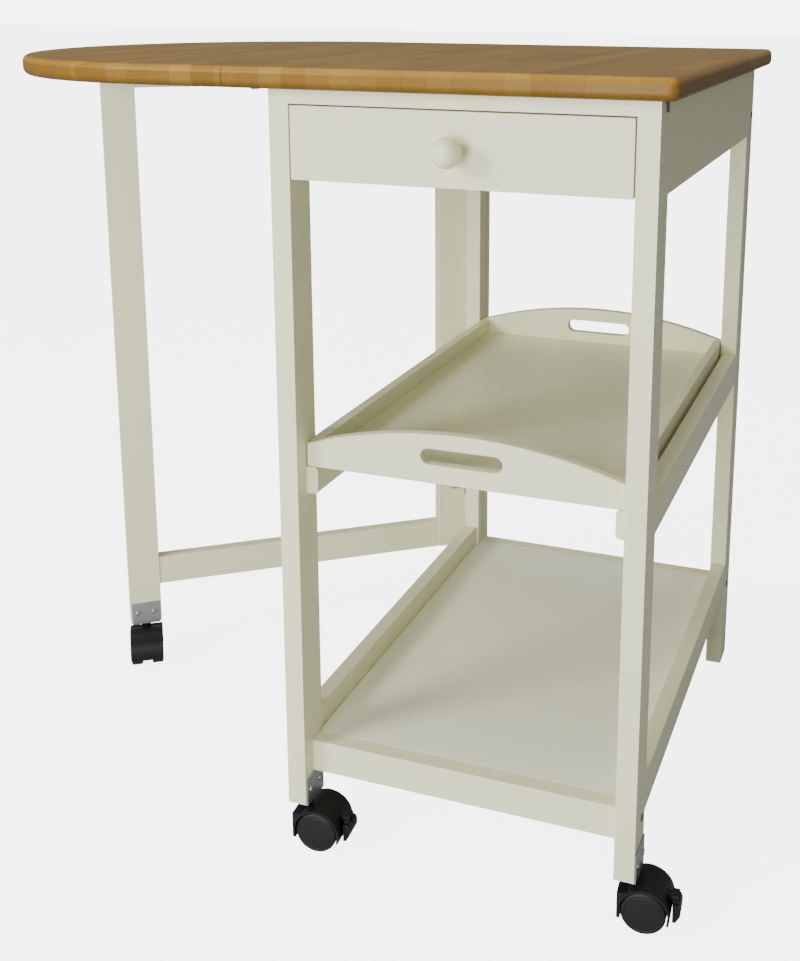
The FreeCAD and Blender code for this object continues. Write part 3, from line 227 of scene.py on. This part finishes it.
def make_strips():
    """Strips along Y, each cut into joined lengths with a tone of its own, and their grain."""
    group, enter, leave = new_group(
        "block strips",
        [("Strip Width", FLOAT, 0.025), ("Strip Length", FLOAT, 0.22), ("Joint Width", FLOAT, 0.0004)],
        [("Tone", FLOAT), ("Second Tone", FLOAT), ("Joint", FLOAT), ("Grain", FLOAT)],
    )
    where = group.nodes.new("ShaderNodeTexCoord").outputs["Object"]
    split = group.nodes.new("ShaderNodeSeparateXYZ")
    group.links.new(where, split.inputs[0])
    across = math_node(group, "DIVIDE", split.outputs["X"], enter.outputs["Strip Width"])
    strip = math_node(group, "FLOOR", across)
    shift_noise = group.nodes.new("ShaderNodeTexWhiteNoise")
    shift_noise.noise_dimensions = "1D"
    group.links.new(strip, shift_noise.inputs["W"])
    along = math_node(group, "DIVIDE", split.outputs["Y"], enter.outputs["Strip Length"])
    along = math_node(group, "ADD", along, shift_noise.outputs["Value"])
    length = math_node(group, "FLOOR", along)
    place = group.nodes.new("ShaderNodeCombineXYZ")
    group.links.new(strip, place.inputs["X"])
    group.links.new(length, place.inputs["Y"])
    pick = group.nodes.new("ShaderNodeTexWhiteNoise")
    pick.noise_dimensions = "3D"
    group.links.new(place.outputs[0], pick.inputs["Vector"])
    parts = group.nodes.new("ShaderNodeSeparateColor")
    group.links.new(pick.outputs["Color"], parts.inputs[0])
    edge_x = math_node(group, "PINGPONG", across, 0.5)
    edge_x = math_node(group, "MULTIPLY", edge_x, enter.outputs["Strip Width"])
    edge_y = math_node(group, "PINGPONG", along, 0.5)
    edge_y = math_node(group, "MULTIPLY", edge_y, enter.outputs["Strip Length"])
    near = math_node(group, "MINIMUM", edge_x, edge_y)
    joint = math_node(group, "LESS_THAN", near, enter.outputs["Joint Width"])
    moved = group.nodes.new("ShaderNodeVectorMath")
    moved.operation = "MULTIPLY_ADD"
    moved.inputs[1].default_value = GRAIN_DENSITY
    group.links.new(where, moved.inputs[0])
    group.links.new(pick.outputs["Color"], moved.inputs[2])
    spread = group.nodes.new("ShaderNodeVectorMath")
    spread.operation = "MULTIPLY_ADD"
    spread.inputs[1].default_value = GRAIN_JUMP
    group.links.new(pick.outputs["Color"], spread.inputs[0])
    group.links.new(moved.outputs[0], spread.inputs[2])
    grain = noise(group, spread.outputs[0], 1.0, 4.0)
    group.links.new(parts.outputs[0], leave.inputs["Tone"])
    group.links.new(parts.outputs[1], leave.inputs["Second Tone"])
    group.links.new(joint, leave.inputs["Joint"])
    group.links.new(grain, leave.inputs["Grain"])
    return group


STRIPS = make_strips()
print("made", STRIPS.name)

# %% [markdown]
# ## Finishes
# The frame wears a cream-white satin lacquer over wood. It is built as one opaque layer, and the
# film group keeps it from looking like plastic: brush pull and small differences in gloss. The
# shelf panel is a plain board, and it gets a whiter copy of the lacquer than the rails round it:
# painted light, standing in for light that doesn't reach the shelf under the tray. The top is beech
# strips under a clear satin finish, so tone changes from strip to strip while one even gloss lies
# over them all. Steel parts are zinc plated, and the casters are moulded nylon.


# %% Start a material
def start_material(name, film=None):
    """A material with a Principled shader, and the film group when its values are given."""
    material = bpy.data.materials.new(name)
    material.use_nodes = True
    tree = material.node_tree
    shader = tree.nodes["Principled BSDF"]
    used = None
    if film:
        used = tree.nodes.new("ShaderNodeGroup")
        used.node_tree = FILM
        for label, value in film.items():
            used.inputs[label].default_value = value
        tree.links.new(used.outputs["Colour"], shader.inputs["Base Color"])
        tree.links.new(used.outputs["Roughness"], shader.inputs["Roughness"])
    return material, tree, shader, used


def add_bump(tree, shader, height, strength, distance):
    """Feeds a height socket to the shader's normal."""
    bump = tree.nodes.new("ShaderNodeBump")
    bump.inputs["Strength"].default_value = strength
    bump.inputs["Distance"].default_value = distance
    tree.links.new(height, bump.inputs["Height"])
    tree.links.new(bump.outputs[0], shader.inputs["Normal"])


def film_material(name, light, dark, gloss, ripple, bump, metallic=0.0, shine=0.5):
    """A finish made of the film group alone. Shine is the strength of its surface reflection."""
    material, tree, shader, used = start_material(name, {
        "Light Colour": (*light, 1), "Dark Colour": (*dark, 1),
        "Gloss Low": gloss[0], "Gloss High": gloss[1], "Ripple": ripple,
    })
    shader.inputs["Metallic"].default_value = metallic
    shader.inputs["Specular IOR Level"].default_value = shine
    add_bump(tree, shader, used.outputs["Height"], *bump)
    return material


# %% [markdown]
# Each finish below is the film group with its own two tones, gloss range and ripple. Lacquer has a
# broad ripple and a weak reflection. Zinc and dark steel are full metals. The casters' hoods and
# treads are nearly black, with a finer ripple that reads as moulded grit.

# %% Paint, steel and plastic
PAINT = film_material("cream lacquer", (0.83, 0.83, 0.555), (0.78, 0.78, 0.51),
                      (0.34, 0.46), 420.0, (0.10, 0.0004), shine=0.4)
# A whiter copy of the cream lacquer for the shelf panel: painted light for the shelf under the tray.
SHELF_PAINT_PAINTED_LIGHTER = film_material("shelf lacquer painted lighter", (0.95, 0.97, 0.76), (0.90, 0.92, 0.71),
                            (0.30, 0.42), 420.0, (0.10, 0.0004), shine=0.4)
ZINC = film_material("zinc plate", (0.52, 0.55, 0.54), (0.34, 0.37, 0.38),
                     (0.28, 0.46), 900.0, (0.15, 0.0002), metallic=1.0)
DARK_STEEL = film_material("dark plated steel", (0.16, 0.15, 0.14), (0.09, 0.085, 0.08),
                           (0.3, 0.45), 900.0, (0.1, 0.0002), metallic=1.0)
NYLON = film_material("black nylon", (0.010, 0.009, 0.011), (0.006, 0.005, 0.007),
                      (0.34, 0.50), 1500.0, (0.25, 0.0002), shine=0.3)
TREAD = film_material("black tread", (0.011, 0.010, 0.011), (0.007, 0.006, 0.007),
                      (0.42, 0.56), 1200.0, (0.3, 0.0003), shine=0.3)
print("made six film finishes")

# %% [markdown]
# The worktop's strips run from front to back, so their ends show as small patches along the front
# edge. Two random tones per piece mix three wood colours, the grain darkens thin lines along each
# piece, and the joint mask draws the glue line. Light and shade are then painted in by which way a
# face looks: the level face is painted darker, the underside of the edge gets painted shade, and
# the rounded rim stays paler as a painted highlight.


# %% Butcher block
HONEY, TAN, RUSSET = (0.42, 0.245, 0.044, 1), (0.31, 0.17, 0.026, 1), (0.26, 0.115, 0.018, 1)
GRAIN_LINE, GLUE_LINE = (0.22, 0.09, 0.010, 1), (0.20, 0.09, 0.025, 1)
# Painted light and shade: how much of the wood's colour is left, from a face that looks down (0)
# to one that looks up (1).
PAINTED_LIGHT_STOPS = ((0.0, (0.35, 0.33, 0.30, 1)), (0.42, (0.55, 0.55, 0.55, 1)), (0.52, (0.68, 0.68, 0.68, 1)),
          (0.72, (1, 1, 1, 1)), (0.92, (1, 1, 1, 1)), (1.0, (0.74, 0.76, 0.62, 1)))


def painted_light_by_facing(tree):
    """Painted light and shade: a colour that multiplies the wood's own, picked by how far a face looks up.
    """
    facing = tree.nodes.new("ShaderNodeNewGeometry")
    parts = tree.nodes.new("ShaderNodeSeparateXYZ")
    tree.links.new(facing.outputs["True Normal"], parts.inputs[0])
    half = math_node(tree, "MULTIPLY", parts.outputs["Z"], 0.5)
    upward_share = math_node(tree, "ADD", half, 0.5)
    scale = tree.nodes.new("ShaderNodeValToRGB")
    stops = scale.color_ramp.elements
    for stop, (position, colour) in zip((stops[0], stops[1]), (PAINTED_LIGHT_STOPS[0], PAINTED_LIGHT_STOPS[-1])):
        stop.position = position
        stop.color = colour
    for position, colour in PAINTED_LIGHT_STOPS[1:-1]:
        stops.new(position).color = colour
    tree.links.new(upward_share, scale.inputs[0])
    return scale.outputs[0]


def make_block():
    """Beech strips with painted light and shade: the level face darker and the rounded rim paler."""
    material, tree, shader, _ = start_material("butcher block")
    strips = tree.nodes.new("ShaderNodeGroup")
    strips.node_tree = STRIPS
    strips.inputs["Strip Width"].default_value = 0.0245
    strips.inputs["Strip Length"].default_value = 0.21
    strips.inputs["Joint Width"].default_value = 0.00035
    colour = mix_colour(tree, strips.outputs["Tone"], HONEY, TAN)
    redder = math_node(tree, "MULTIPLY", strips.outputs["Second Tone"], 0.45)
    colour = mix_colour(tree, redder, colour, RUSSET)
    lines = math_node(tree, "MULTIPLY", strips.outputs["Grain"], 0.35)
    colour = mix_colour(tree, lines, colour, GRAIN_LINE)
    dim = math_node(tree, "MULTIPLY", strips.outputs["Joint"], 0.35)
    colour = mix_colour(tree, dim, colour, GLUE_LINE)
    # Multiplies the wood's colour by the painted light and shade of the facing ramp.
    lit_and_shaded = tree.nodes.new("ShaderNodeMix")
    lit_and_shaded.data_type, lit_and_shaded.blend_type = "RGBA", "MULTIPLY"
    lit_and_shaded.inputs[0].default_value = 1.0
    tree.links.new(colour, lit_and_shaded.inputs[6])
    tree.links.new(painted_light_by_facing(tree), lit_and_shaded.inputs[7])
    tree.links.new(lit_and_shaded.outputs[2], shader.inputs["Base Color"])
    shader.inputs["Roughness"].default_value = 0.36
    shader.inputs["Specular IOR Level"].default_value = 0.13
    add_bump(tree, shader, strips.outputs["Grain"], 0.08, 0.0003)
    return material


BLOCK = make_block()
print("made", BLOCK.name)

# %% [markdown]
# The engineering record says what each piece is made of, so one table from those names to the
# finishes dresses the whole cart. Only the shelf panel is an exception: its whiter coat is painted light.

# %% Give every piece its finish
FINISH = {"white_paint": PAINT, "oiled_wood": BLOCK, "zinc": ZINC, "dark_steel": DARK_STEEL,
          "black_plastic": NYLON, "black_rubber": TREAD}
for row in frame["record"]["subparts"]:
    mesh = nodes[row["node"]].data
    mesh.materials.clear()
    # The shelf panel's whiter lacquer is painted light.
    finish = SHELF_PAINT_PAINTED_LIGHTER if row["node"] == "shelf_panel" else FINISH[row["material_slot"]]
    mesh.materials.append(finish)

# %% [markdown]
# ## Screws and bolt faces
# Each caster bracket is held by two pan-head screws, and each frame bolt shows a socket. These are
# domes turned round an axis. The drive recess is made by letting the inner rings of the dome
# follow a cross or a hexagon instead of a circle, which needs no cutting and leaves a clean mesh.


# %% A fastener head
def recess_radius(angle, shape, size):
    """Radius of the drive recess in one direction."""
    if shape == "hex":
        turn = (angle % (math.pi / 3)) - math.pi / 6
        return size * math.cos(math.pi / 6) / math.cos(turn)
    thin = min(abs(math.sin(angle)), abs(math.cos(angle)))
    return min(size, 0.26 * size / max(thin, 0.02))


def fastener(name, place, facing, radius, high, shape, body, material):
    """A dome with a drive recess, standing on place and facing outwards."""
    around = 48
    side = 1.0 if shape == "hex" else 0.96
    rings = [(radius, 0.0, None), (radius * side, high * 0.45, None), (radius * 0.8, high * 0.85, None),
             (radius * 0.66, high, None), (radius * 0.52, high, shape), (radius * 0.48, high * 0.25, shape)]
    shell = bmesh.new()
    loops = []
    for ring_radius, level, kind in rings:
        loop = []
        for step in range(around):
            angle = 2 * math.pi * step / around
            reach = recess_radius(angle, kind, ring_radius) if kind else ring_radius
            loop.append(shell.verts.new((reach * math.cos(angle), reach * math.sin(angle), level)))
        loops.append(loop)
    for low, top in zip(loops, loops[1:]):
        for step in range(around):
            after = (step + 1) % around
            shell.faces.new((low[step], low[after], top[after], top[step]))
    shell.faces.new(loops[-1])
    shell.faces.new(list(reversed(loops[0])))
    mesh = bpy.data.meshes.new(name)
    turn = Vector((0, 0, 1)).rotation_difference(Vector(facing)).to_matrix().to_4x4()
    shell.transform(Matrix.Translation(Vector(place)) @ turn)
    shell.to_mesh(mesh)
    shell.free()
    mesh.materials.append(material)
    head = bpy.data.objects.new(name, mesh)
    bpy.context.collection.objects.link(head)
    shade = head.modifiers.new("shade", "NODES")
    shade.node_group = SHADE
    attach(head, body)
    return head


# %% [markdown]
# The bolts and the brackets are groups of separate solids in one node. To put a face on each, the
# mesh is walked from corner to corner along its edges, and what can be reached is one solid. Its
# low and high corners are enough to find the place of a face.


# %% Find the solids of a group
def corners_of(node):
    """Low and high corner of a node, as vectors."""
    low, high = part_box(node)
    return Vector(low), Vector(high)


def solids_of(node, wanted):
    """Low and high corners of each separate solid in a group."""
    mesh = nodes[node].data
    solid = bmesh.new()
    solid.from_mesh(mesh)
    bmesh.ops.remove_doubles(solid, verts=solid.verts, dist=0.00001)
    islands, seen = [], set()
    for start in solid.verts:
        if start in seen:
            continue
        stack, members = [start], []
        seen.add(start)
        while stack:
            vert = stack.pop()
            members.append(vert.co.copy())
            for edge in vert.link_edges:
                other = edge.other_vert(vert)
                if other not in seen:
                    seen.add(other)
                    stack.append(other)
        low = Vector((min(co[axis] for co in members) for axis in range(3)))
        high = Vector((max(co[axis] for co in members) for axis in range(3)))
        islands.append((low, high))
    solid.free()
    if len(islands) != wanted:
        print("expected", wanted, "solids in", node, "and found", len(islands))
    return islands


print("solid finder ready")

# %% Bolt faces on the legs
BOLT_FACE_RADIUS, BOLT_FACE_HIGH = 0.0042, 0.0008
bolts = solids_of("frame_bolts", 8)
for count, (low, high) in enumerate(bolts):
    left = low.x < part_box("leg_front_left")[0][0] + 0.01
    face = low.x if left else high.x
    middle = (low + high) / 2
    fastener(f"bolt_face_{count}", (face, middle.y, middle.z), (-1 if left else 1, 0, 0),
             BOLT_FACE_RADIUS, BOLT_FACE_HIGH, "hex", "frame", DARK_STEEL)
print("bolt faces:", len(bolts))

# %% [markdown]
# The front brackets face right, square to the cart. The gate's bracket faces along the gate's own
# turn, so its screws are placed from the caster's stem, out to the bracket's face and to each side.

# %% Screws on the caster brackets
SCREW_RADIUS, SCREW_HIGH, SCREW_LEVEL = 0.0036, 0.0018, 0.071
SCREW_SIDES = (-0.011, 0.011)
BRACKET_FACE = 0.0121
GATE_TURN = math.radians(-52)
for index, (low, high) in enumerate(solids_of("caster_brackets_front", 2)):
    for count, along in enumerate(SCREW_SIDES):
        middle = (low.y + high.y) / 2 + along
        fastener(f"bracket_screw_{index}_{count}", (high.x, middle, SCREW_LEVEL), (1, 0, 0),
                 SCREW_RADIUS, SCREW_HIGH, "cross", "frame", ZINC)
low, high = corners_of("caster_stem_gate")
stem = (low + high) / 2
out = Vector((math.cos(GATE_TURN), math.sin(GATE_TURN), 0))
side = Vector((-math.sin(GATE_TURN), math.cos(GATE_TURN), 0))
for count, along in enumerate(SCREW_SIDES):
    place = stem + out * BRACKET_FACE + side * along
    fastener(f"gate_screw_{count}", (place.x, place.y, SCREW_LEVEL), out,
             SCREW_RADIUS, SCREW_HIGH, "cross", "gate", ZINC)
print("bracket screws: 6")

# %% [markdown]
# ## Steel clips under the worktop
# Small plates on the front legs' outer faces tie the worktop down. They only show as a thin dark
# line under the overhang, so a plain thin block with softened corners is enough.


# %% Two clips
def clip(name, low, high):
    """A small steel plate between two corners."""
    shell = bmesh.new()
    bmesh.ops.create_cube(shell, size=1.0)
    size, middle = Vector(high) - Vector(low), (Vector(high) + Vector(low)) / 2
    shell.transform(Matrix.Translation(middle) @ Matrix.Diagonal((*size, 1)))
    mesh = bpy.data.meshes.new(name)
    shell.to_mesh(mesh)
    shell.free()
    mesh.materials.append(DARK_STEEL)
    plate = bpy.data.objects.new(name, mesh)
    bpy.context.collection.objects.link(plate)
    soften(plate, METAL_EDGE)
    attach(plate, "frame")


# A clip is let a little into the leg, and stops just short of the worktop.
CLIP_SUNK, CLIP_PROUD, CLIP_FRONT, CLIP_BACK = 0.0003, 0.0012, 0.014, 0.029
CLIP_HIGH, CLIP_TOP_GAP = 0.012, 0.0001
for name, leg, direction in (("clip_left", "leg_front_left", -1), ("clip_right", "leg_front_right", 1)):
    low, high = corners_of(leg)
    face = low.x if direction < 0 else high.x
    near, far = sorted((face - direction * CLIP_SUNK, face + direction * CLIP_PROUD))
    clip(name, (near, low.y + CLIP_FRONT, high.z - CLIP_HIGH),
         (far, low.y + CLIP_BACK, high.z - CLIP_TOP_GAP))
print("clips: 2")

# %% [markdown]
# ## Floor, light and camera
# The cart stands on a plain pale floor, large enough to meet the sky far behind it. The sky is
# nearly the same tone, so only a faint line shows between them. Floor and sky glow for the camera's
# rays alone, which keeps them pale and throws no light on the cart.


# %% Floor
FLOOR_GLOW = 5.0


def make_floor():
    """A pale, level floor, just under the wheels."""
    mesh = bpy.data.meshes.new("floor")
    reach = 30.0
    mesh.from_pydata([(-reach, -reach, 0), (reach, -reach, 0), (reach, reach, 0), (-reach, reach, 0)],
                     [], [(0, 1, 2, 3)])
    floor = bpy.data.objects.new("floor", mesh)
    bpy.context.collection.objects.link(floor)
    paper = bpy.data.materials.new("pale floor")
    paper.use_nodes = True
    shader = paper.node_tree.nodes["Principled BSDF"]
    shader.inputs["Base Color"].default_value = (0.55, 0.55, 0.55, 1)
    shader.inputs["Roughness"].default_value = 0.95
    shader.inputs["Emission Color"].default_value = (1, 1, 1, 1)
    seen = paper.node_tree.nodes.new("ShaderNodeLightPath")
    glow = math_node(paper.node_tree, "MULTIPLY", seen.outputs["Is Camera Ray"], FLOOR_GLOW)
    paper.node_tree.links.new(glow, shader.inputs["Emission Strength"])
    mesh.materials.append(paper)
    floor.location.z = -0.0005


make_floor()
print("floor laid")


# %% [markdown]
# A soft lamp at the front left gives the highlight along the worktop's edge and leaves the right
# sides in shade. A weaker one in front reaches the shelf under the tray, and a third one above
# lights the level boards. An even sky keeps the shadows open.


# %% Lamps and sky
def lamp(name, place, aim, size, power, colour=(1, 1, 1)):
    """A square soft lamp that looks at a point."""
    data = bpy.data.lights.new(name, "AREA")
    data.size = size
    data.energy = power
    data.color = colour
    light = bpy.data.objects.new(name, data)
    light.location = place
    light.rotation_euler = (Vector(aim) - Vector(place)).to_track_quat("-Z", "Y").to_euler()
    bpy.context.collection.objects.link(light)


MIDDLE = (0, 0, 0.45)
SKY_LIGHT, SKY_GLOW = 0.28, 6.0
lamp("key", (-2.0, -2.7, 1.9), MIDDLE, 1.1, 104, (1.0, 0.995, 0.98))
lamp("front", (0.1, -2.7, 0.75), MIDDLE, 1.0, 56)
lamp("top", (-0.2, 0.1, 3.0), MIDDLE, 2.2, 40)
world = bpy.data.worlds.new("even sky")
bpy.context.scene.world = world
world.use_nodes = True
sky = world.node_tree.nodes["Background"]
sky.inputs["Color"].default_value = (1, 1, 1, 1)
seen = world.node_tree.nodes.new("ShaderNodeLightPath")
backdrop = math_node(world.node_tree, "MULTIPLY", seen.outputs["Is Camera Ray"], SKY_GLOW)
strength = math_node(world.node_tree, "ADD", backdrop, SKY_LIGHT)
world.node_tree.links.new(strength, sky.inputs["Strength"])
print("lamps: 3")

# %% [markdown]
# The camera stands a little right of the cart's front and just above the worktop. Its direction is
# set from three turns, and a lens shift frames the cart without leaning the legs more.

# %% Camera
CAMERA_PLACE = (0.6003, -1.3805, 0.9170)
YAW, PITCH, ROLL = 0.3434, -0.2145, 0.0052
FOCAL_MM, SENSOR_MM = 47.3, 36.0
SHIFT_X, SHIFT_Y = -0.0785, -0.2190
forward = Vector((-math.sin(YAW) * math.cos(PITCH), math.cos(YAW) * math.cos(PITCH), math.sin(PITCH)))
level = Vector((math.cos(YAW), math.sin(YAW), 0))
upward = level.cross(forward)
right = math.cos(ROLL) * level + math.sin(ROLL) * upward
up = -math.sin(ROLL) * level + math.cos(ROLL) * upward
camera_data = bpy.data.cameras.new("camera")
camera_data.sensor_width = SENSOR_MM
camera_data.lens = FOCAL_MM
camera_data.shift_x = SHIFT_X
camera_data.shift_y = SHIFT_Y
camera = bpy.data.objects.new("camera", camera_data)
turn = Matrix((right, up, -forward)).transposed().to_4x4()
camera.matrix_world = Matrix.Translation(CAMERA_PLACE) @ turn
bpy.context.collection.objects.link(camera)
bpy.context.scene.camera = camera
print("camera at", CAMERA_PLACE)
